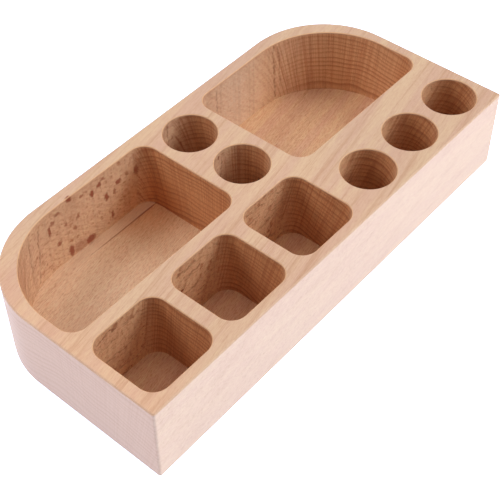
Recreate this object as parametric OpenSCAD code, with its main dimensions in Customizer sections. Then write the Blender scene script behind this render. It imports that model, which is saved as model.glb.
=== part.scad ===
// Tool storage caddy: one block of solid beech, milled from the top.
// Two deep trays, three square pockets and five round sockets stand in it.
// Origin: middle of the flat underside. +X runs along the block, +Y to the
// rounded back, +Z up. Millimetres.

/* [Block] */
// Length of the block, left end to right end
block_l = 200; // [198:0.5:220]
// Depth of the block, front face to back face
block_w = 95.5; // [93:0.5:110]
// Height of the block
block_h = 36; // [20:0.5:60]
// Radius of the two upright corners at the back
back_corner_r = 36.5; // [20:0.5:40]
// Radius of the two upright corners at the front
front_corner_r = 1; // [1:0.1:3]
// Wood left under every hollow
floor_t = 5.5; // [3:0.5:12]
// Width of the sanded bevel on the outer edges
edge_ease = 0.5; // [0.2:0.1:0.6]
// Width of the sanded bevel on the rim of every hollow
rim_ease = 0.3; // [0.1:0.1:0.5]

/* [Trays] */
// Wood between the trays and the back face
back_wall = 5.5; // [4:0.5:8]
// Wood between the left tray and the left end
left_wall = 5; // [4:0.5:8]
// Wood between the right tray and the right end
right_wall = 4.5; // [4:0.5:8]
// Length of the left tray
left_tray_l = 84; // [60:0.5:84]
// Depth of the left tray, front to back
left_tray_w = 48.5; // [40:0.5:48.5]
// Length of the right tray
right_tray_l = 76; // [60:0.5:76]
// Depth of the right tray, front to back
right_tray_w = 54; // [40:0.5:54]
// Radius of the three tight corners of a tray
tray_corner_r = 6.5; // [4:0.5:10]
// Radius of the wide outer corner of a tray
tray_sweep_r = 35; // [25:0.5:36]

/* [Square pockets] */
// Number of square pockets in the front row
pocket_count = 3; // [1:1:3]
// Side of a square pocket
pocket_side = 31.5; // [20:0.5:32]
// Corner radius of a square pocket
pocket_corner_r = 6.5; // [3:0.5:10]
// Distance from one pocket's centre to the next
pocket_pitch = 38; // [36:0.5:39]
// Centre of the first pocket, from the left end
pocket_inset_x = 20.75; // [20.5:0.25:21.5]
// Centre line of the pockets, from the front face
pocket_inset_y = 20; // [19.5:0.25:20.5]

/* [Round sockets] */
// Bore of a round socket
socket_d = 21.5; // [12:0.5:22]
// Number of sockets in the front row
front_socket_count = 3; // [1:1:3]
// Distance between sockets in the front row
front_socket_pitch = 26.75; // [24:0.25:27]
// Centre of the last front socket, from the right end
front_socket_inset_x = 14.4; // [14:0.1:15]
// Centre line of the front sockets, from the front face
front_socket_inset_y = 14.8; // [14:0.1:16]
// Number of sockets between the trays
middle_socket_count = 2; // [1:1:2]
// Distance between the sockets that stand between the trays
middle_socket_pitch = 26.5; // [24:0.25:27]

/* [Hidden] */
$fn = 96;
// Pale oiled beech
beech = [0.90, 0.76, 0.64];
// How far a cutter runs past the face that it opens
past = 0.4;
right_angle = 90;

// Hollows and the block itself are boxes seen from above, [low corner,
// high corner], each with four corner radii in the order front left,
// front right, back right, back left
block = [[0, 0], [block_l, block_w]];
block_r = [front_corner_r, front_corner_r, back_corner_r, back_corner_r];

tray_back = block_w - back_wall;
left_tray = [[left_wall, tray_back - left_tray_w],
             [left_wall + left_tray_l, tray_back]];
left_tray_r = [tray_corner_r, tray_corner_r, tray_corner_r, tray_sweep_r];
right_tray = [[block_l - right_wall - right_tray_l, tray_back - right_tray_w],
              [block_l - right_wall, tray_back]];
right_tray_r = [tray_corner_r, tray_corner_r, tray_sweep_r, tray_corner_r];

pocket = [[-pocket_side / 2, -pocket_side / 2], [pocket_side / 2, pocket_side / 2]];
pocket_r = [for (i = [0 : 3]) pocket_corner_r];

// The middle sockets stand half way between the trays, and the rear one
// reaches as far back as the trays do
socket_r = socket_d / 2;
middle_socket_x = (left_tray[1][0] + right_tray[0][0]) / 2;
socket_places = concat(
    [for (i = [0 : front_socket_count - 1])
        [block_l - front_socket_inset_x - i * front_socket_pitch, front_socket_inset_y, 0]],
    [for (i = [0 : middle_socket_count - 1])
        [middle_socket_x, tray_back - socket_r - i * middle_socket_pitch, 0]]);

// Bevels at 45 degrees, as the wood that they take away. Each section is
// a list of [distance out from the wall, height] points
rim_reach = rim_ease + past;
rim_section = [[-past, 0], [0, 0], [rim_reach, rim_reach], [-past, rim_reach]];
edge_reach = edge_ease + past;
edge_section = [[-edge_reach, past], [past, past], [past, -edge_reach]];

// Centre of the arc at corner i of a box, where the radii are r
function arc_centre(box, r, i) = [
    (i == 0 || i == 3) ? box[0][0] + r[i] : box[1][0] - r[i],
    i < 2 ? box[0][1] + r[i] : box[1][1] - r[i]];

// Moves its children to corner i and turns them, so that their first
// quadrant faces out of the box
module at_corner(box, r, i) {
    translate(arc_centre(box, r, i))
        rotate([0, 0, (i + 2) * right_angle])
            children();
}

// Flat outline of a box with its own radius at each corner: the eight
// points where arcs meet sides, and a quarter disc at each corner
module rounded_outline(box, r) {
    lo = box[0];
    hi = box[1];
    polygon([
        [lo[0] + r[0], lo[1]], [hi[0] - r[1], lo[1]],
        [hi[0], lo[1] + r[1]], [hi[0], hi[1] - r[2]],
        [hi[0] - r[2], hi[1]], [lo[0] + r[3], hi[1]],
        [lo[0], hi[1] - r[3]], [lo[0], lo[1] + r[0]]]);
    for (i = [0 : 3])
        at_corner(box, r, i)
            intersection() {
                circle(r = r[i]);
                square(r[i]);
            }
}

// A section carried once round a box: a straight bar along each side and
// a quarter ring at each corner
module edge_run(box, r, section) {
    for (i = [0 : 3]) {
        here = arc_centre(box, r, i);
        next = arc_centre(box, r, (i + 1) % 4);
        run = i % 2 == 0 ? abs(next[0] - here[0]) : abs(next[1] - here[1]);
        at_corner(box, r, i)
            translate([-run, 0, 0])
                rotate([right_angle, 0, right_angle])
                    linear_extrude(height = run)
                        polygon([for (p = section) [r[i] + p[0], p[1]]]);
        at_corner(box, r, i)
            rotate_extrude(angle = right_angle)
                polygon([for (p = section) [r[i] + p[0], p[1]]]);
    }
}

// One hollow with an upright wall, a flat floor and a bevelled rim
module hollow(box, r) {
    translate([0, 0, floor_t])
        linear_extrude(height = block_h - floor_t + past)
            rounded_outline(box, r);
    translate([0, 0, block_h - rim_ease])
        edge_run(box, r, rim_section);
}

// One round socket, drilled blind, with a bevelled rim
module socket() {
    translate([0, 0, floor_t])
        cylinder(h = block_h - floor_t + past, r = socket_r);
    translate([0, 0, block_h - rim_ease])
        cylinder(h = rim_reach, r1 = socket_r, r2 = socket_r + rim_reach);
}

// The whole block, bevelled round its top and its underside
module blank() {
    difference() {
        linear_extrude(height = block_h)
            rounded_outline(block, block_r);
        translate([0, 0, block_h])
            edge_run(block, block_r, edge_section);
        mirror([0, 0, 1])
            edge_run(block, block_r, edge_section);
    }
}

// The caddy: the blank with every hollow milled out of its top
module caddy_block() {
    color(beech)
        translate([-block_l / 2, -block_w / 2, 0])
            difference() {
                blank();
                hollow(left_tray, left_tray_r);
                hollow(right_tray, right_tray_r);
                for (i = [0 : pocket_count - 1])
                    translate([pocket_inset_x + i * pocket_pitch, pocket_inset_y, 0])
                        hollow(pocket, pocket_r);
                for (place = socket_places)
                    translate(place)
                        socket();
            }
}

caddy_block();
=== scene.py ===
# %% [markdown]
# # A beech tool storage caddy
#
# On the bench this is one block of beech, about as long as a hand and as tall as two fingers.
# Two trays, three square pockets and five round sockets are milled into its top. The block comes
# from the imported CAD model, so its size and hollows are already right. This lesson adds what
# OpenSCAD can't: the look of real wood, a table to stand on, light and a camera.
#
# We load the model first and measure it. Every later place and size is measured from this block.

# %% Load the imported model
import math

import bpy
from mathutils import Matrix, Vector


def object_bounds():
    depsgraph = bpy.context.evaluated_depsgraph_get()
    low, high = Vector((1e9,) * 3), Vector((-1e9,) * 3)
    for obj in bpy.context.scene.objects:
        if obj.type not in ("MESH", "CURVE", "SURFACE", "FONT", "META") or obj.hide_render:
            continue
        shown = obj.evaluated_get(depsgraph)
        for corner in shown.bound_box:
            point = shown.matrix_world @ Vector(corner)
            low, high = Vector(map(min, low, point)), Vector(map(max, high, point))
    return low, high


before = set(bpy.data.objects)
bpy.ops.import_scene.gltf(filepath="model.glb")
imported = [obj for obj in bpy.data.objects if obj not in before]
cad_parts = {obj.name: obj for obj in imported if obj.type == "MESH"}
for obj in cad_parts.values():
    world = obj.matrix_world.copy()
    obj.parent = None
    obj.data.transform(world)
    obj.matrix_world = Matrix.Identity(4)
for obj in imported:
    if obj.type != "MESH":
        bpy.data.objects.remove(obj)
cad_low, cad_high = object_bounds()
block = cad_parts["caddy_block"]
MM = 0.001
print("block size in mm:", [round(side / MM, 2) for side in cad_high - cad_low])

# %% [markdown]
# ## Writing shader nodes as short calls
#
# A material in Blender is a web of nodes. It could be drawn by hand in the Shader Editor, or
# pasted in as one long list of node and link calls. Beech needs hundreds of nodes, so we write a
# small helper instead. Each call adds one node, wires up its inputs and gives back its output,
# and the recipe then reads like a sum. All the sizes in it are in millimetres.

# %% A recipe for a material
COLUMN, ROW = 230, -190
NODES_PER_COLUMN = 10
MIX_UNDER, MIX_OVER, MIX_COLOUR = 6, 7, 2  # the colour sockets of a Mix node


class Recipe:
    """One material, written as short calls. Each call adds a node and gives back its output."""

    def __init__(self, name):
        self.material = bpy.data.materials.new(name)
        self.material.use_nodes = True
        self.tree = self.material.node_tree
        self.tree.nodes.clear()

    def node(self, kind, label="", **settings):
        made = self.tree.nodes.new(kind)
        count = len(self.tree.nodes)
        made.location = (COLUMN * (count // NODES_PER_COLUMN), ROW * (count % NODES_PER_COLUMN))
        made.label = label
        for name, value in settings.items():
            setattr(made, name, value)
        return made

    def feed(self, socket, value):
        """Links a node's output to a socket, or sets the socket to a plain number."""
        if isinstance(value, bpy.types.NodeSocket):
            self.tree.links.new(value, socket)
        else:
            socket.default_value = value

    def maths(self, operation, *values, label=""):
        made = self.node("ShaderNodeMath", label or operation.lower(), operation=operation)
        for socket, value in zip(made.inputs, values):
            self.feed(socket, value)
        return made.outputs[0]

    def product(self, first, *others, label=""):
        """Several masks multiplied together."""
        for other in others:
            first = self.maths("MULTIPLY", first, other, label=label)
        return first

    def vector(self, operation, *values, label=""):
        made = self.node("ShaderNodeVectorMath", label or operation.lower(), operation=operation)
        for socket, value in zip(made.inputs, values):
            self.feed(socket, value)
        number = operation in ("DOT_PRODUCT", "LENGTH", "DISTANCE")
        return made.outputs["Value" if number else "Vector"]

    def stretch(self, value, low, high, to_low=0.0, to_high=1.0, label="", soft=False):
        """Maps low..high to to_low..to_high and holds the ends."""
        made = self.node("ShaderNodeMapRange", label)
        made.interpolation_type = "SMOOTHSTEP" if soft else "LINEAR"
        for socket, number in zip(made.inputs, (value, low, high, to_low, to_high)):
            self.feed(socket, number)
        return made.outputs[0]

    def noise(self, place, sizes, detail=2.0, rough=0.5, label=""):
        """Soft noise with lumps of the given sizes in mm along the three axes of place."""
        made = self.node("ShaderNodeTexNoise", label)
        shrink = tuple(1 / size for size in sizes)
        self.feed(made.inputs["Vector"], self.vector("MULTIPLY", place, shrink))
        made.inputs["Scale"].default_value = 1.0
        made.inputs["Detail"].default_value = detail
        made.inputs["Roughness"].default_value = rough
        return made.outputs["Fac"]

    def grains(self, place, sizes, label=""):
        """Distance from the nearest of a scatter of points, in cells of the given sizes in mm."""
        made = self.node("ShaderNodeTexVoronoi", label, feature="F1", voronoi_dimensions="3D")
        shrink = tuple(1 / size for size in sizes)
        self.feed(made.inputs["Vector"], self.vector("MULTIPLY", place, shrink))
        made.inputs["Scale"].default_value = 1.0
        return made.outputs["Distance"]

    def together(self, x, y, z, label=""):
        made = self.node("ShaderNodeCombineXYZ", label)
        for socket, value in zip(made.inputs, (x, y, z)):
            self.feed(socket, value)
        return made.outputs[0]

    def apart(self, vector, label=""):
        made = self.node("ShaderNodeSeparateXYZ", label)
        self.feed(made.inputs[0], vector)
        return made.outputs

    def turned(self, vector, degrees, label=""):
        made = self.node("ShaderNodeVectorRotate", label, rotation_type="Z_AXIS")
        self.feed(made.inputs["Vector"], vector)
        made.inputs["Angle"].default_value = math.radians(degrees)
        return made.outputs[0]

    def tint(self, amount, under, over, mode="MIX", label=""):
        made = self.node("ShaderNodeMix", label, data_type="RGBA", blend_type=mode)
        self.feed(made.inputs["Factor"], amount)
        self.feed(made.inputs[MIX_UNDER], under)
        self.feed(made.inputs[MIX_OVER], over)
        return made.outputs[MIX_COLOUR]


def paint(red, green, blue):
    """A colour in linear light from its 0 to 255 screen values, by the sRGB formula."""
    def linear(value):
        value /= 255
        return value / 12.92 if value <= 0.04045 else ((value + 0.055) / 1.055) ** 2.4
    return (linear(red), linear(green), linear(blue), 1.0)


beech = Recipe("beech")
print("white paint is", paint(255, 255, 255)[:3])

# %% [markdown]
# ## Where the grain runs
#
# Wood isn't a picture glued on a block. Its pattern goes all the way through, and each cut shows
# a different side of it. We could unwrap the block and paint each face, but then lines would not
# meet at the corners. Instead the colour is worked out from the place in the log.
#
# The grain runs along the block, turned a few degrees. The heart of the tree, the pith, lies far
# below it. So each point gets three numbers: how far along the trunk, how far round the tree, and
# how far out from the pith. The way round is an angle, so it is turned into millimetres at about
# the block's middle height. The direction a face looks in says how it cuts the grain: a face that
# looks along the trunk is end grain.

# %% Grain coordinates
GRAIN_TURN = 10.0
PITH_Y = 9.6
PITH_DEPTH = 125.0
MID_HEIGHT = 20.0
where = beech.node("ShaderNodeTexCoord", "place in the block")
in_mm = (1 / MM, 1 / MM, 1 / MM)
place = beech.vector("MULTIPLY", where.outputs["Object"], in_mm, label="in mm")
from_pith = beech.vector("SUBTRACT", place, (0.0, PITH_Y, -PITH_DEPTH))
along, across, above = beech.apart(beech.turned(from_pith, -GRAIN_TURN, "along the grain"))
squares = beech.maths("MULTIPLY_ADD", across, across, beech.maths("MULTIPLY", above, above))
radius = beech.maths("SQRT", squares, label="out from the pith")
angle = beech.maths("ARCTAN2", across, above)
round_the_tree = beech.maths("MULTIPLY", angle, PITH_DEPTH + MID_HEIGHT)
grain_place = beech.together(along, round_the_tree, radius, "grain place")
facing = beech.apart(beech.turned(where.outputs["Normal"], -GRAIN_TURN, "facing"))
end_grain = beech.maths("MULTIPLY", facing[0], facing[0], label="end grain")
side_face = beech.maths("MULTIPLY", facing[1], facing[1], label="side face")
flat_face = beech.maths("MULTIPLY", facing[2], facing[2], label="flat face")
print("pith is", PITH_DEPTH, "mm under the table, grain turned by", GRAIN_TURN, "degrees")

# %% [markdown]
# ## Milled inside, sanded outside
#
# The outside of the real block was sanded smooth, which leaves it pale and even. The hollows were
# cut with a router bit, and nobody sands the inside of a pocket, so there the grain is open and
# dark. We need a mask that tells the two apart. It could be a second material on picked faces,
# but a mask worked out from the distance to the block's outer skin needs no picking and moves
# softly over the rims. Masks of the block's halves come with it, because the colours of the wood
# change from end to end.

# %% Mask of the milled hollows
CORNER = 36.5
SANDED_DEEP = 1.0
half_long, half_wide, half_tall = [side / 2 / MM for side in cad_high - cad_low]
tall = 2 * half_tall
x, y, z = beech.apart(place, "x, y, z")
to_end = beech.maths("SUBTRACT", beech.maths("ABSOLUTE", x), half_long - CORNER)
past_x = beech.maths("MAXIMUM", to_end, 0.0)
past_y = beech.maths("MAXIMUM", beech.maths("SUBTRACT", y, half_wide - CORNER), 0.0)
round_corner = beech.vector("LENGTH", beech.together(past_x, past_y, 0.0))
to_back = beech.maths("SUBTRACT", round_corner, CORNER)
to_front = beech.maths("SUBTRACT", beech.maths("MULTIPLY", y, -1.0), half_wide)
to_top = beech.maths("SUBTRACT", z, tall)
to_bottom = beech.maths("MULTIPLY", z, -1.0)
to_skin = beech.maths("MAXIMUM", beech.maths("MAXIMUM", to_back, to_front), to_top)
to_skin = beech.maths("MAXIMUM", to_skin, to_bottom)
milled = beech.stretch(to_skin, -SANDED_DEEP, -SANDED_DEEP / 2, 1.0, 0.0, label="milled inside")
sanded = beech.stretch(milled, 0, 1, 1, 0, label="sanded outside")
right_half = beech.stretch(x, 10, 40, label="right half")
back_half = beech.stretch(y, -12, 0, label="back half")
front_half = beech.stretch(y, -6, -11, label="front half")
print("sanded skin is", SANDED_DEEP, "mm deep on a block", round(tall, 1), "mm tall")

# %% [markdown]
# ## Growth rings
#
# Each year the tree adds a pale soft layer and then a thin dark one. On the end walls of the
# hollows these show as fine level lines, and on the flat faces as broad soft streaks. A Wave
# texture could draw them, but its lines are all alike. Here the ring number is the distance from
# the pith divided by the width of a year, after three slow noises have pushed it about: the whole
# log wanders, each ring trembles a little, and years are wide or narrow. A last noise makes some
# years' lines stronger than others.

# %% Rings
RING_WIDTH = 2.35
WANDER = 5.0
TREMBLE = 0.32
UNEVEN = 2.6
AUTUMN_FROM, AUTUMN_FULL, WINTER = 0.35, 0.85, 0.86
wander = beech.noise(grain_place, (260, 34, 34), 2, 0.5, "slow wander")
tremble = beech.noise(grain_place, (34, 5, 5), 2, 0.5, "small tremble")
rings = beech.maths("ADD", radius, beech.stretch(wander, 0, 1, -WANDER, WANDER))
rings = beech.maths("ADD", rings, beech.stretch(tremble, 0, 1, -TREMBLE, TREMBLE))
wide_years = beech.noise(beech.together(rings, 0.0, 0.0), (7, 1, 1), 1, 0.5, "uneven years")
rings = beech.maths("ADD", rings, beech.stretch(wide_years, 0, 1, -UNEVEN, UNEVEN))
year = beech.maths("FRACT", beech.maths("DIVIDE", rings, RING_WIDTH), label="time of year")
autumn = beech.stretch(year, AUTUMN_FROM, AUTUMN_FULL, soft=True)
winter = beech.stretch(year, 1.0, WINTER)
good_years = beech.noise(beech.together(rings, along, 0.0), (6, 60, 1), 1, 0.5, "good years")
strength = beech.stretch(good_years, 0.3, 0.7, 0.4, 1.0)
late_wood = beech.product(autumn, winter, strength, label="late wood")
print("rings across the block's height:", round(tall / RING_WIDTH))

# %% [markdown]
# ## Rays
#
# Beech is known by its rays, thin brown sheets that stand on edge and point at the pith. Cut
# across, they are fine upright lines on the end walls. Cut along the top, they are short dashes.
# Where a wall cuts them lying flat, they open up as round flecks. One stretched noise makes the
# lines. For dashes and flecks a Voronoi texture is better, because its cells give separate spots.

# %% Ray lines and dashes
def spots(place, cell, edge, core, label):
    """One spot to a cell of the given size in mm: gone at the edge distance, full at the core."""
    return beech.stretch(beech.grains(place, cell), edge, core, label=label, soft=True)


thin_sheets = beech.noise(grain_place, (10, 0.36, 70), 1.5, 0.6, "thin ray sheets")
fine_rays = beech.stretch(thin_sheets, 0.44, 0.62, label="fine rays", soft=True)
thick_sheets = beech.noise(grain_place, (16, 0.7, 60), 1, 0.5, "thick ray sheets")
bold_rays = beech.stretch(thick_sheets, 0.62, 0.76, label="bold rays", soft=True)
dashes = spots(grain_place, (1.9, 0.34, 9), 0.50, 0.18, "ray dashes")
print("ray lines and dashes so far:", len(beech.tree.nodes), "nodes")

# %% [markdown]
# ## Flecks
#
# The round flecks use the same spots, with two changes. Their place is nudged by a small noise, so
# that their edges are ragged, and a patchy mask gathers the wide ones in groups. The right half of
# this block has few of either kind, so a last mask thins them out there.

# %% Wide and small flecks
FEW_WIDE, FEW_SMALL = 0.12, 0.25
ragged = beech.node("ShaderNodeTexNoise", "ragged edges")
beech.feed(ragged.inputs["Vector"], place)
ragged.inputs["Scale"].default_value = 0.9
ragged.inputs["Detail"].default_value = 2.0
nudge = beech.vector("SUBTRACT", ragged.outputs["Color"], (0.5, 0.5, 0.5))
ragged_grain = beech.vector("MULTIPLY", nudge, (3.0, 0.4, 3.0))
ragged_grain = beech.vector("ADD", grain_place, ragged_grain)
patches = beech.noise(grain_place, (18, 9, 9), 1, 0.5, "patches")
patches = beech.stretch(patches, 0.42, 0.62, 0.15, 1.0)
flecked = beech.product(beech.stretch(right_half, 0.0, 1.0, 1.0, FEW_WIDE), patches)
wide_flecks = spots(ragged_grain, (3.4, 1.2, 5.0), 0.36, 0.16, "wide spots")
wide_flecks = beech.product(wide_flecks, flecked, label="wide flecks")
small_flecks = spots(ragged_grain, (1.3, 0.9, 1.5), 0.42, 0.14, "small spots")
spread = beech.stretch(right_half, 0.0, 1.0, 1.0, FEW_SMALL)
small_flecks = beech.product(small_flecks, spread, label="small flecks")
print("rings, rays and flecks:", len(beech.tree.nodes), "nodes")

# %% [markdown]
# ## The wood's own colours
#
# Before any lines, the wood has a ground colour: pale sapwood with rosy bands and finer streaks
# along the trunk. One flat colour would look like plastic, so the three are mixed by soft noises
# that are long along the grain. The side walls show less of both, and the milled wood less of the
# streaks.

# %% Sapwood with bands and streaks
SAPWOOD = (229, 194, 160)
ROSY = (222, 182, 156)
STREAK = (204, 160, 128)
LESS_ON_SIDES = 0.35
LESS_WHEN_MILLED = 0.55
bands = beech.noise(grain_place, (120, 7, 5), 3, 0.6, "bands")
bands = beech.stretch(bands, 0.35, 0.65, soft=True)
streaks = beech.noise(grain_place, (60, 1.8, 3.5), 3, 0.65, "streaks")
streaks = beech.stretch(streaks, 0.47, 0.70, 0.0, 0.66, soft=True)
banded = beech.stretch(side_face, 0.0, 0.8, 1.0, LESS_ON_SIDES)
streaked = beech.product(banded, beech.stretch(milled, 0, 1, 1.0, LESS_WHEN_MILLED))
colour = beech.tint(beech.product(bands, banded), paint(*SAPWOOD), paint(*ROSY), label="sapwood")
colour = beech.tint(beech.product(streaks, streaked), colour, paint(*STREAK), label="streaks")
print("sapwood in linear light:", [round(value, 3) for value in paint(*SAPWOOD)[:3]])

# %% [markdown]
# ## Each place its own tone
#
# Tone changes from place to place on this block: the left tray's floor is pale and the right tray's
# floor a little more golden. The right tray's back wall is painted paler, which is painted light,
# and the front pockets get a deeper tan, which is painted shade. The sanded sides and top each take
# their own cast, which is painted light too. Every tone is laid on through a mask that is a
# product of simple ones: milled or sanded, which way the face looks, and which part of the block.

# %% Tones of the trays, the pockets and the outside, partly painted light and shade
PALE_FLOOR = (243, 210, 174)
PALE_WALL_PAINTED_LIGHT = (236, 213, 187)
GOLD = (1.08, 1.01, 0.88, 1.0)
TAN_PAINTED_SHADE = (1.02, 0.92, 0.80, 1.0)
SIDE_PAINTED_LIGHT = (0.945, 0.92, 0.925, 1.0)
TOP_PAINTED_LIGHT = (0.90, 0.95, 0.965, 1.0)
RIGHT_TONE = (0.95, 0.97, 0.98, 1.0)
WELL_MIXED = 0.85
MIXED = 0.8
LEFT_END_KEEPS = 0.1
left_floor = beech.product(milled, flat_face, back_half, beech.stretch(x, 15, 5))
left_floor = beech.maths("MULTIPLY", left_floor, WELL_MIXED)
colour = beech.tint(left_floor, colour, paint(*PALE_FLOOR), label="pale left floor")
golden = beech.product(beech.stretch(x, 15, 62, 0.35, 1.0), flat_face, right_half)
golden = beech.product(golden, milled, MIXED)
colour = beech.tint(golden, colour, GOLD, "MULTIPLY", "golden")
# Painted shade: the front pockets take a deeper, more saturated colour, like deep shade.
tan_painted_shade = beech.product(front_half, milled, MIXED)
colour = beech.tint(tan_painted_shade, colour, TAN_PAINTED_SHADE, "MULTIPLY", "tan_painted_shade")
right_tray = beech.product(right_half, back_half)
# Painted light: the right tray's back wall is made paler, as where more light falls.
right_wall_painted_light = beech.product(right_tray, side_face, milled, beech.stretch(x, 62, 45), WELL_MIXED)
colour = beech.tint(right_wall_painted_light, colour, paint(*PALE_WALL_PAINTED_LIGHT), label="paler right wall")
# Painted light: the sanded sides take their own cast.
sanded_side = beech.product(side_face, sanded, label="sanded side")
colour = beech.tint(sanded_side, colour, SIDE_PAINTED_LIGHT, "MULTIPLY", "side")
sanded_top = beech.product(flat_face, sanded, label="sanded top")
sanded_top = beech.product(sanded_top, beech.stretch(x, -98, -70, LEFT_END_KEEPS, 1.0))
# Painted light: the sanded top takes a cooler cast, weaker at the left end.
colour = beech.tint(sanded_top, colour, TOP_PAINTED_LIGHT, "MULTIPLY", "top")
top_right = beech.product(sanded_top, right_half)
colour = beech.tint(top_right, colour, RIGHT_TONE, "MULTIPLY", "right top")
print("beech nodes so far:", len(beech.tree.nodes))

# %% [markdown]
# ## End grain
#
# Where the cut goes across the trunk, the open pores drink the light and the wood is a deeper
# brown. It is deepest on the milled end walls and paler where it was sanded. In the right tray it
# is lighter and more golden, which is painted light. A mask from the face's direction turns the
# side colour into the end colour softly, so the rounded corners of the trays pass through every
# shade between.

# %% End grain colour
MILLED_END = (196, 144, 101)
LIT_GOLDEN_END = (211, 164, 123)
SANDED_END = (199, 161, 135)
# Painted light: the right tray's end walls take a lighter, more golden colour.
milled_end = beech.tint(right_tray, paint(*MILLED_END), paint(*LIT_GOLDEN_END), label="milled end")
end_colour = beech.tint(milled, paint(*SANDED_END), milled_end, label="end grain colour")
colour = beech.tint(beech.stretch(end_grain, 0.05, 0.9), colour, end_colour, label="end grain")
print("end grain colours:", MILLED_END, LIT_GOLDEN_END, SANDED_END)

# %% [markdown]
# ## Laying the figure over the ground
#
# Now the rings and rays darken the ground colour. How much depends on the cut: rings are bold on
# end grain and faint on the flat, dashes show on the flat, and flecks only on the side walls. One
# function does it for every feature, from a table with a strength for each kind of face. Sanding
# pales them all. The right tray is a little calmer than the rest.

# %% Stain by cut
LATE = (146, 90, 56)
RAY = (152, 86, 52)
DASH = (170, 102, 62)
CALM = 0.86


def stain(ground, mask, brown, on_flat, on_side, on_end, full_at, when_sanded, label):
    """Darkens the ground where the mask is, by how the surface cuts the grain."""
    end = beech.stretch(end_grain, 0, full_at, 0, on_end - on_flat)
    side = beech.stretch(side_face, 0, 0.9, 0, on_side - on_flat)
    amount = beech.maths("ADD", beech.maths("ADD", end, side), on_flat)
    amount = beech.product(amount, beech.stretch(milled, 0, 1, when_sanded, 1.0), mask)
    return beech.tint(amount, ground, brown, label=label)


calm = beech.stretch(right_tray, 0, 1, 1.0, CALM, label="calmer right tray")
late_wood = beech.maths("MULTIPLY", late_wood, calm)
fine_rays = beech.maths("MULTIPLY", fine_rays, calm)
bold_rays = beech.maths("MULTIPLY", bold_rays, calm)
FIGURE = (
    # mask, brown, on flat, on side, on end, end grain where on end is full, when sanded, label
    (late_wood, LATE, 0.15, 0.06, 0.84, 0.9, 0.29, "late wood"),
    (fine_rays, RAY, 0.13, 0.10, 0.44, 0.2, 0.23, "fine rays"),
    (bold_rays, RAY, 0.12, 0.0, 0.50, 0.2, 0.21, "bold rays"),
    (dashes, DASH, 0.38, 0.12, 0.0, 0.9, 0.34, "dashes"),
    (wide_flecks, RAY, 0.0, 0.60, 0.0, 0.3, 0.14, "wide flecks"),
    (small_flecks, RAY, 0.0, 0.42, 0.0, 0.3, 0.27, "small flecks"),
)
for mask, brown, *strengths in FIGURE:
    colour = stain(colour, mask, paint(*brown), *strengths)
print("features laid on:", [row[-1] for row in FIGURE])

# %% [markdown]
# ## Dull and bright fibres
#
# Under all the figure, wood is a bundle of fibres that catch the light differently, most clearly
# where it was milled. A fine noise stretched along the grain is laid on in Overlay mode, which
# darkens the dark fibres and brightens the bright ones but keeps the hue. The same fibres shape
# the sheen and the bump later.

# %% Fibres
DULL = (0.32, 0.32, 0.32, 1)
BRIGHT = (0.84, 0.84, 0.84, 1)
FIBRES_SANDED, FIBRES_MILLED = 0.20, 0.52
fibres = beech.noise(grain_place, (4, 0.25, 0.3), 2, 0.6, "fibres")
shine = beech.tint(beech.stretch(fibres, 0.3, 0.7), DULL, BRIGHT, label="dull and bright fibres")
fibre_amount = beech.stretch(milled, 0, 1, FIBRES_SANDED, FIBRES_MILLED)
colour = beech.tint(fibre_amount, colour, shine, "OVERLAY", "fibres")
print("beech nodes so far:", len(beech.tree.nodes))

# %% [markdown]
# ## Torn fibres
#
# A router bit leaves its own marks. In the front pockets it ran against the grain on the back
# walls and tore short fibres out, so there are jagged, nearly level cracks. A noise that is long
# along the grain and very thin across it draws them. Read at its own place it would look combed
# straight, so the place is first pushed sideways by a slow winding noise.

# %% Torn fibres in the front hollows
TORN_BROWN = (128, 72, 45)
TORN_DARK = 0.42
WINDING = (2.6, 0.7, 5.0)
winding = beech.node("ShaderNodeTexNoise", "slow winding")
beech.feed(winding.inputs["Vector"], place)
winding.inputs["Scale"].default_value = 0.28
sideways = beech.vector("SUBTRACT", winding.outputs["Color"], (0.5, 0.5, 0.5))
sideways = beech.vector("MULTIPLY", sideways, WINDING)
winding_grain = beech.vector("ADD", grain_place, sideways)
torn = beech.noise(winding_grain, (8.0, 6.0, 0.75), 2, 0.6, "torn fibres")
torn = beech.stretch(torn, 0.54, 0.66, soft=True)
torn_patches = beech.stretch(beech.noise(place, (9, 9, 7), 1, 0.5), 0.40, 0.60, 0.2, 1.0)
torn = beech.product(torn, torn_patches, front_half, milled, label="torn")
torn = beech.product(torn, beech.stretch(side_face, 0.35, 0.8))
torn_amount = beech.maths("MULTIPLY", torn, TORN_DARK)
colour = beech.tint(torn_amount, colour, paint(*TORN_BROWN), label="torn")
print("torn fibres wind by up to", max(WINDING) / 2, "mm")

# %% [markdown]
# ## Cutter bands and painted shade in a corner
#
# On every upright wall the turning bit leaves faint upright bands. The tight corner of the left
# tray is painted darker and redder, which is painted shade, and the floor near by gets a warmer
# painted shade too. The bands are a noise stretched so far upright that it never changes with
# height. The corner shade is only a distance from one point, faded out.

# %% Cutter bands and painted corner shade
CUTTER_BROWN = (128, 78, 50)
CUTTER_DARK = 0.14
SHADED_CORNER = (-14.0, 40.0, 8.0)
CORNER_SHADE_SIZE = 24.0
CORNER_SHADE_TONE = (1.0, 0.76, 0.56, 1.0)
CORNER_SHADE_AMOUNT = 0.8
FLOOR_SHADE_SIZE = 1.9 * CORNER_SHADE_SIZE
FLOOR_SHADE_TONE = (1.0, 0.80, 0.62, 1.0)
FLOOR_SHADE_AMOUNT = 0.5
upright = beech.stretch(flat_face, 0.5, 0.1)
cutter = beech.noise(place, (2.4, 2.4, 300), 2, 0.6, "cutter bands")
cutter = beech.product(beech.stretch(cutter, 0.48, 0.68, 0.0, CUTTER_DARK), upright, milled)
colour = beech.tint(cutter, colour, paint(*CUTTER_BROWN), label="cutter bands")
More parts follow.
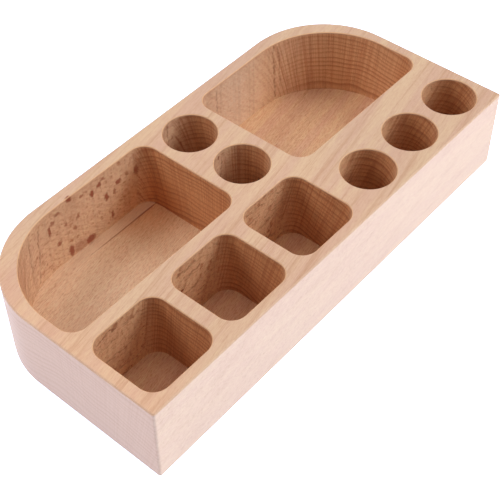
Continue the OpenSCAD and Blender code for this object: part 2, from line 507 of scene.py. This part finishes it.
# Painted shade: darker and redder towards the left tray's inner corner.
to_shaded_corner = beech.vector("DISTANCE", place, SHADED_CORNER, label="to the scorched corner")
corner_shade = beech.stretch(to_shaded_corner, CORNER_SHADE_SIZE, 3.0, soft=True)
corner_shade = beech.product(corner_shade, milled, CORNER_SHADE_AMOUNT)
colour = beech.tint(corner_shade, colour, CORNER_SHADE_TONE, "MULTIPLY", "shaded")
# Painted shade: a warmer, darker floor around that corner.
left_of_wall = beech.stretch(x, -9, -11)
floor_shade = beech.stretch(to_shaded_corner, FLOOR_SHADE_SIZE, 10.0, soft=True)
floor_shade = beech.product(floor_shade, flat_face, milled, left_of_wall, back_half, FLOOR_SHADE_AMOUNT)
colour = beech.tint(floor_shade, colour, FLOOR_SHADE_TONE, "MULTIPLY", "warm floor")
print("scorched corner at", SHADED_CORNER, "mm, warm for", FLOOR_SHADE_SIZE, "mm around")

# %% [markdown]
# ## Marks that belong to this block
#
# Some marks are not a pattern: this one board has its own big flecks on the left tray's back wall,
# and a thin dark line along the tray's floor. They could be painted in Texture Paint, but listed in
# millimetres, they stay easy to move. Each is an egg shape: the place is moved and scaled so that
# the egg becomes a ball, and its length says how far out a point is. The mask is measured in 3D, so
# a fleck sits on whatever wall passes through it. The floor line is two very long eggs.

# %% Flecks and the line on the floor
BACK = 42.25
FLECKS = (
    # x, y, z of the middle, half length, half depth, half height, how dark
    (-52.8, BACK, 9.0, 1.5, 1.2, 3.7, 1.0),
    (-48.0, BACK, 8.0, 4.6, 1.2, 3.4, 0.45),
    (-43.0, BACK, 7.4, 3.2, 1.2, 2.6, 1.0),
    (-61.6, BACK, 26.5, 0.9, 1.2, 3.4, 0.95),
    (-59.6, BACK, 29.5, 1.5, 1.2, 1.2, 0.75),
    (-58.0, BACK, 17.2, 1.4, 1.2, 1.4, 0.9),
    (-57.0, BACK, 32.0, 1.8, 1.2, 0.9, 0.75),
    (-53.6, BACK, 24.0, 1.0, 1.2, 1.0, 0.7),
    (-50.6, BACK, 35.2, 1.9, 1.2, 1.8, 1.0),
    (-47.5, BACK, 23.5, 1.2, 1.2, 1.2, 0.7),
    (-44.5, BACK, 32.0, 1.2, 1.2, 1.0, 0.7),
    (-39.3, BACK, 29.3, 1.3, 1.2, 2.0, 1.0),
    (-35.5, BACK, 31.0, 1.6, 1.2, 1.5, 0.95),
    (-33.4, BACK, 32.6, 1.4, 1.2, 1.0, 0.8),
    (-32.4, BACK, 22.4, 1.4, 1.2, 2.6, 1.0),
    (-28.0, BACK, 22.2, 0.9, 1.2, 2.0, 0.75),
    (-25.6, BACK, 25.6, 1.9, 1.2, 1.5, 0.95),
    (-30.4, BACK, 11.2, 0.8, 1.2, 2.6, 0.9),
    (-16.0, BACK, 25.0, 1.5, 1.2, 2.8, 0.8),
    (2.5, 15.2, 33.5, 1.0, 1.2, 1.2, 0.95),
)
FLOOR_LINE = (
    (-27.0, 37.55, 5.5, 24.0, 0.38, 0.8, 0.75),
    (-18.0, 37.75, 5.5, 8.5, 0.50, 0.8, 0.95),
)
FLECK_RED = (146, 66, 42)
FLECK_AMOUNT = 0.85
ragged_place = beech.vector("ADD", place, beech.vector("MULTIPLY", nudge, (2.4, 0.0, 2.4)))
marks = 0.0
for fleck_x, fleck_y, fleck_z, long, deep, high, darkness in FLECKS + FLOOR_LINE:
    spot = beech.node("ShaderNodeMapping", "fleck", vector_type="POINT")
    beech.feed(spot.inputs["Vector"], ragged_place)
    spot.inputs["Scale"].default_value = (1 / long, 1 / deep, 1 / high)
    spot.inputs["Location"].default_value = (-fleck_x / long, -fleck_y / deep, -fleck_z / high)
    size = beech.vector("LENGTH", spot.outputs[0])
    spot_mask = beech.stretch(size, 1.1, 0.5, 0.0, darkness, soft=True)
    marks = beech.maths("MAXIMUM", marks, spot_mask)
marks = beech.maths("MULTIPLY", marks, FLECK_AMOUNT)
colour = beech.tint(marks, colour, paint(*FLECK_RED), label="flecks")
print("flecks placed:", len(FLECKS))

# %% [markdown]
# ## Cracks and dark lines
#
# The curved walls have thin upright lines, and the torn walls of the front pockets have longer,
# nearly level cracks. Each is drawn between two points: from any place, the nearest point of the
# line is found, and the distance to it is the mask. The place is pushed by the winding and the
# ragged noise first, so the line is crooked, and a last noise breaks it up.

# %% Cracks
CRACKS = (
    # one end, the other end, half thickness, how dark
    ((-67.1, 41.5, 31.5), (-70.9, 40.5, 7.0), 0.26, 0.62),
    ((-73.5, 39.5, 33.0), (-75.0, 38.8, 12.0), 0.26, 0.36),
    ((66.8, 41.6, 35.5), (68.3, 41.3, 7.0), 0.38, 0.60),
    ((69.5, 41.1, 33.0), (71.2, 40.6, 12.0), 0.28, 0.42),
    ((31.6, BACK, 33.0), (32.6, BACK, 12.0), 0.26, 0.40),
    ((2.4, 42.1, 35.0), (2.2, 42.1, 8.0), 0.32, 0.70),
    ((-0.6, 41.1, 32.0), (-0.8, 41.1, 10.0), 0.28, 0.50),
    ((-3.6, 38.8, 30.0), (-3.4, 38.9, 10.0), 0.28, 0.40),
    ((4.6, 15.5, 34.0), (3.4, 15.4, 10.0), 0.30, 0.60),
    ((-2.6, 13.0, 31.0), (-2.8, 12.9, 14.0), 0.28, 0.45),
    ((-90.0, -12.0, 32.6), (-80.0, -12.0, 33.6), 0.30, 0.80),
    ((-89.0, -12.0, 28.0), (-82.0, -12.0, 27.4), 0.30, 0.60),
    ((-89.0, -12.0, 19.5), (-76.0, -12.0, 19.0), 0.34, 0.60),
    ((-51.0, -12.0, 32.0), (-41.0, -12.0, 32.6), 0.28, 0.75),
    ((-47.0, -12.0, 27.6), (-39.0, -12.0, 28.0), 0.30, 0.60),
    ((-49.0, -12.0, 19.5), (-38.0, -12.0, 20.0), 0.34, 0.55),
    ((-49.4, -12.0, 23.2), (-47.2, -12.0, 25.0), 0.62, 1.25),
    ((-13.0, -12.0, 32.4), (-3.5, -12.0, 31.8), 0.28, 0.75),
    ((-12.0, -12.0, 26.8), (-6.0, -12.0, 27.6), 0.30, 0.60),
    ((-11.0, -12.0, 20.0), (-1.0, -12.0, 20.5), 0.34, 0.55),
)
CRACK_BROWN = (126, 58, 32)
CRACK_AMOUNT = 0.88
THROUGH_WALL = (1, 0.5, 1)  # y counts half, so a crack is deeper than it is wide
crooked = beech.vector("ADD", place, sideways)
crooked = beech.vector("ADD", crooked, beech.vector("MULTIPLY", nudge, (0.9, 0.5, 1.2)))
faint = beech.noise(place, (2.2, 2.2, 2.2), 1, 0.5, "broken line")
faint = beech.stretch(faint, 0.38, 0.58, 0.30, 1.0)
lines = 0.0
for first, last, thickness, darkness in CRACKS:
    length = (Vector(last) - Vector(first)).length
    direction = (Vector(last) - Vector(first)) / length
    from_first = beech.vector("SUBTRACT", crooked, first, label="crack")
    reach = beech.vector("DOT_PRODUCT", from_first, tuple(direction))
    reach = beech.stretch(reach, 0.0, length, 0.0, length)
    nearest = beech.vector("MULTIPLY", beech.together(reach, reach, reach), tuple(direction))
    gap = beech.vector("DISTANCE", beech.vector("MULTIPLY", from_first, THROUGH_WALL),
                       beech.vector("MULTIPLY", nearest, THROUGH_WALL))
    line = beech.stretch(gap, 2.2 * thickness, 0.4 * thickness, 0.0, darkness, soft=True)
    lines = beech.maths("MAXIMUM", lines, line)
lines = beech.product(lines, milled, faint)
lines = beech.maths("MULTIPLY", lines, CRACK_AMOUNT)
colour = beech.tint(lines, colour, paint(*CRACK_BROWN), label="cracks")
print("cracks placed:", len(CRACKS))

# %% [markdown]
# ## The pale strip behind the line
#
# Between the line on the left tray's floor and the back wall, the floor is a little paler. Four
# ramps multiplied together fence off that strip: behind the line, at floor height, and fading in
# along the tray up to its end wall.

# %% Pale strip
STRIP_PALE = (236, 204, 170)
STRIP_AMOUNT = 0.46
strip = beech.product(beech.stretch(y, 37.7, 38.1), beech.stretch(z, 6.2, 5.8))
strip = beech.product(strip, beech.stretch(x, -75, -35), beech.stretch(x, -9, -12))
strip = beech.product(strip, milled, STRIP_AMOUNT)
colour = beech.tint(strip, colour, paint(*STRIP_PALE), label="pale strip")
print("pale strip laid", STRIP_AMOUNT, "strong")

# %% [markdown]
# ## Rubbed edges and a painted highlight
#
# The rims are rounded by sanding, and hands rub them smooth. A thin line along the hollows is made
# paler than the wood beside it: partly that wear, and partly a painted highlight where the rounded
# rims catch the light. The CAD block has these rounded edges as narrow sloping faces. So the mask
# is simply the faces near the top that look neither straight up nor straight sideways. The block's
# outer edge has them too, but the wood there is pale already, so it takes less.

# %% Pale rims with a painted highlight
RIM_LOW = 35.2
RIM_HIGHLIGHT = (246, 205, 152)
OUTER_RIM, INNER_RIM = 0.15, 0.55
sloping = beech.stretch(flat_face, 0.95, 0.80)
sloping = beech.product(sloping, beech.stretch(flat_face, 0.15, 0.35))
sloping = beech.product(sloping, beech.stretch(z, RIM_LOW - 0.7, RIM_LOW), label="sloping rim")
in_from_side = beech.maths("MAXIMUM", to_back, to_front)
inner_rim = beech.stretch(in_from_side, -1.5, -3.0, OUTER_RIM, INNER_RIM)
# Painted highlight: the sloping rim faces are made paler, most along the hollows.
rim_highlight = beech.maths("MULTIPLY", sloping, inner_rim)
colour = beech.tint(rim_highlight, colour, paint(*RIM_HIGHLIGHT), label="rims")
print("rims start at", RIM_LOW, "mm above the table")

# %% [markdown]
# ## The surface
#
# Plain sanded beech has no varnish, only a soft sheen that changes a little from fibre to fibre.
# Grain is also felt with a fingernail: late wood stands up, open rays and torn fibres lie low.
# Displacing the mesh would need millions of faces for ridges of a few hundredths of a millimetre,
# so a Bump node does it.

# %% Sheen and raised grain
RIDGE = 0.00004
RIDGE_STRENGTH = 0.5
GLOSSY, MATT = 0.52, 0.66
skin = beech.node("ShaderNodeBsdfPrincipled", "sanded beech")
out = beech.node("ShaderNodeOutputMaterial", "surface")
beech.tree.links.new(skin.outputs[0], out.inputs["Surface"])
beech.feed(skin.inputs["Base Color"], colour)
beech.feed(skin.inputs["Roughness"], beech.stretch(fibres, 0, 1, GLOSSY, MATT))
grooves = beech.maths("MULTIPLY_ADD", late_wood, 0.5, beech.maths("MULTIPLY", fibres, 0.8))
grooves = beech.maths("SUBTRACT", grooves, beech.maths("MULTIPLY", dashes, 0.4))
grooves = beech.maths("SUBTRACT", grooves, beech.maths("MULTIPLY", torn, 1.1))
bump = beech.node("ShaderNodeBump", "raised grain")
beech.feed(bump.inputs["Height"], grooves)
bump.inputs["Strength"].default_value = RIDGE_STRENGTH
bump.inputs["Distance"].default_value = RIDGE
beech.tree.links.new(bump.outputs[0], skin.inputs["Normal"])
block.data.materials.clear()
block.data.materials.append(beech.material)
print("beech is made of", len(beech.tree.nodes), "nodes")

# %% [markdown]
# ## A white table
#
# The block stands on a wide white sheet that is lit until it has no edge or shade of its own, and
# it throws soft light back on the block's sides. A bright floor could be had from many lamps, but
# letting the paper glow a little is simpler and even. The glow leans blue because the lamps are
# warm, and together they come out white.

# %% Table
SHEET_HALF = 3.0
PAPER_WHITE = (0.9, 0.9, 0.9, 1)
PAPER_ROUGH = 0.9
PAPER_GLOW = (0.415, 0.651, 1.0, 1.0)
PAPER_GLOW_STRENGTH = 1.68
sheet = bpy.data.meshes.new("table_top")
corners = [(side_x * SHEET_HALF, side_y * SHEET_HALF, 0.0)
           for side_x, side_y in ((-1, -1), (1, -1), (1, 1), (-1, 1))]
sheet.from_pydata(corners, [], [(0, 1, 2, 3)])
table = bpy.data.objects.new("table_top", sheet)
bpy.context.scene.collection.objects.link(table)
table.location.z = cad_low.z
white = bpy.data.materials.new("white_paper")
white.use_nodes = True
paper = white.node_tree.nodes["Principled BSDF"]
paper.inputs["Base Color"].default_value = PAPER_WHITE
paper.inputs["Roughness"].default_value = PAPER_ROUGH
paper.inputs["Emission Color"].default_value = PAPER_GLOW
paper.inputs["Emission Strength"].default_value = PAPER_GLOW_STRENGTH
sheet.materials.append(white)
print("table is", 2 * SHEET_HALF, "m wide at height", round(table.location.z, 4))

# %% [markdown]
# ## Studio light
#
# A product studio surrounds a thing with big soft boxes, so that no hollow is black and no
# shadow is sharp. Here four round soft boxes stand over a metre away: one front right, two behind
# and one overhead, and an even dome of light fills the rest. One sun lamp would be simpler, but it
# would cut hard shadows into the pockets.

# %% Light
WARM_WHITE = (1.1, 1.0, 0.976)
DOME_STRENGTH = 0.29
BLOCK_MIDDLE = (0.0, 0.0, 0.02)
SOFT_BOXES = (
    # name, place, width across, watts
    ("front_right_box", (0.7, -0.7, 0.8), 0.7, 7.4),
    ("back_left_box", (-0.7, 0.7, 0.8), 0.7, 6.2),
    ("back_right_box", (0.7, 0.7, 0.8), 0.7, 2.5),
    ("top_box", (0.0, 0.0, 1.1), 0.8, 1.1),
)
world = bpy.data.worlds.new("studio")
bpy.context.scene.world = world
world.use_nodes = True
dome = world.node_tree.nodes["Background"]
dome.inputs["Color"].default_value = (*WARM_WHITE, 1)
dome.inputs["Strength"].default_value = DOME_STRENGTH


def soft_box(name, place, width, watts):
    """A round lamp that looks at the block."""
    lamp = bpy.data.lights.new(name, "AREA")
    lamp.shape = "DISK"
    lamp.size = width
    lamp.energy = watts
    lamp.color = WARM_WHITE
    made = bpy.data.objects.new(name, lamp)
    bpy.context.scene.collection.objects.link(made)
    made.location = place
    aim = Vector(BLOCK_MIDDLE) - Vector(place)
    made.rotation_euler = aim.to_track_quat("-Z", "Y").to_euler()


for name, lamp_place, width, watts in SOFT_BOXES:
    soft_box(name, lamp_place, width, watts)

# %% [markdown]
# ## Camera
#
# The camera looks down on the block from its front left corner at about 47 degrees, from 45 cm
# away, with a lens just long enough to fill the frame. A small lens shift sets the block in the
# frame without turning the camera, which would change the slant of its edges.

# %% Camera
CAMERA_PLACE = (-0.23719, -0.20533, 0.34020)
CAMERA_TURN = (42.50487, 1.36055, -48.76427)
LENS_MM, SENSOR_MM = 84.46, 36.0
SHIFT_RIGHT, SHIFT_UP = 0.05906, -0.01056
NEAREST = 0.01
lens = bpy.data.cameras.new("camera")
camera = bpy.data.objects.new("camera", lens)
bpy.context.scene.collection.objects.link(camera)
camera.location = CAMERA_PLACE
camera.rotation_euler = [math.radians(degrees) for degrees in CAMERA_TURN]
lens.lens = LENS_MM
lens.sensor_width = SENSOR_MM
lens.shift_x = SHIFT_RIGHT
lens.shift_y = SHIFT_UP
lens.clip_start = NEAREST
bpy.context.scene.camera = camera
bpy.context.scene.view_settings.view_transform = "Standard"
print("camera is", round(camera.location.length, 3), "m from the middle of the table")
